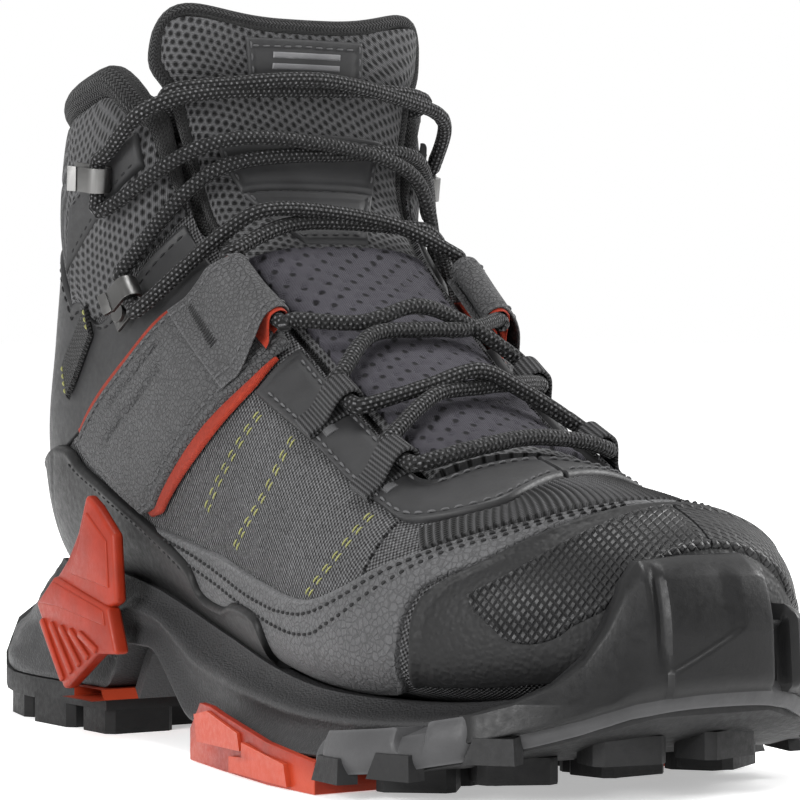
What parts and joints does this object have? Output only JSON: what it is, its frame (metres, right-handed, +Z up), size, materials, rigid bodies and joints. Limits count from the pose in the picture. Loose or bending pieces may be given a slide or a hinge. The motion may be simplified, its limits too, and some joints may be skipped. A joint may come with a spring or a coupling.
{
  "type": "hiking boot",
  "caption": "Mid-height laced hiking boot for the right foot, with padded collar and tongue, rubber toe cap, lace loops and hooks, coloured heel chassis and lugged sole.",
  "frame": {"origin": "middle of the boot's bounding box, on the ground under the lugs", "axes": "toe toward -Y, +Z up, the wearer's right side at +X (this is the right boot, so its outer side is -X in the picture's left)"},
  "size_m": [0.124, 0.2928, 0.1895],
  "materials": {
    "mesh": "open spacer mesh, grey",
    "knit": "fine dark knit lining",
    "textile": "coarse grey woven textile",
    "rib": "ribbed grey textile",
    "film": "smooth dark moulded film",
    "synthetic": "grey synthetic leather, fine grain",
    "orange": "orange moulded, satin",
    "orange_fabric": "orange woven lining",
    "rubber": "black rubber, fine pebble",
    "rubber_grey": "dark grey rubber, smooth",
    "eva": "dark moulded foam, fine grain",
    "webbing": "dark woven webbing",
    "metal": "satin nickel",
    "lace": "round braid, black with light flecks",
    "foam": "perforated soft foam, dark purple-grey",
    "board": "stitched lasting board",
    "bed": "footbed cloth",
    "tip": "lace tip"
  },
  "bodies": {
    "boot": {"lining": "knit", "toe_shell": "textile", "quarter_shell_lateral": "textile", "quarter_shell_medial": "textile", "collar_mesh_lateral": "mesh", "collar_mesh_medial": "mesh", "collar_padding": "knit", "collar_rim": "knit", "ankle_overlay_lateral": "film", "ankle_overlay_medial": "film", "hook_patch_lateral": "film", "hook_patch_medial": "film", "strap_lining_lateral": "orange_fabric", "strap_lining_medial": "orange_fabric", "strap_lateral": "synthetic", "strap_medial": "synthetic", "strap_loop_lateral": "orange_fabric", "strap_loop_medial": "orange_fabric", "eyestay_lateral": "film", "eyestay_medial": "film", "vamp_ribbed_strip": "rib", "mudguard_lateral": "synthetic", "mudguard_medial": "synthetic", "toe_cap": "rubber", "toe_inset_lateral": "rubber", "toe_inset_medial": "rubber", "heel_counter": "rubber", "heel_strip": "webbing", "heel_pull_loop": "webbing", "side_tag": "film", "gusset_lateral": "knit", "gusset_medial": "knit", "webbing_loop_lateral_1": "webbing", "webbing_loop_lateral_2": "webbing", "webbing_loop_medial_2": "webbing", "webbing_loop_medial_3": "webbing", "hook_upper_lateral": "metal", "hook_lower_lateral": "metal", "hook_upper_medial": "metal", "hook_lower_medial": "metal", "lace": "lace", "lace_tip_lateral": "tip", "lace_tip_medial": "tip", "lasting_board": "board", "midsole": "eva", "chassis": "orange", "outsole_heel": "rubber", "outsole_forefoot": "rubber", "outsole_rim": "rubber_grey", "toe_bumper": "rubber_grey", "forefoot_pod_lateral": "orange", "forefoot_pod_medial": "orange"},
    "tongue": {"tongue_shell": "mesh", "tongue_padding": "knit", "tongue_rim": "knit", "tongue_badge": "film", "tongue_panel_mid": "film", "tongue_panel_low": "film", "tongue_foam": "foam"},
    "footbed": {"footbed": "bed"}
  },
  "joints": [
    {"name": "tongue_tilt", "type": "hinge", "parent": "boot", "child": "tongue", "pos_m": [-0.0012, -0.0708, 0.0774], "axis": [1, 0, 0], "range_deg": [0, 12], "deforming": ["lace"]},
    {"name": "footbed_lift", "type": "hinge", "parent": "boot", "child": "footbed", "pos_m": [-0.0012, -0.1316, 0.04], "axis": [1, 0, 0], "range_deg": [0, 8]}
  ]
}
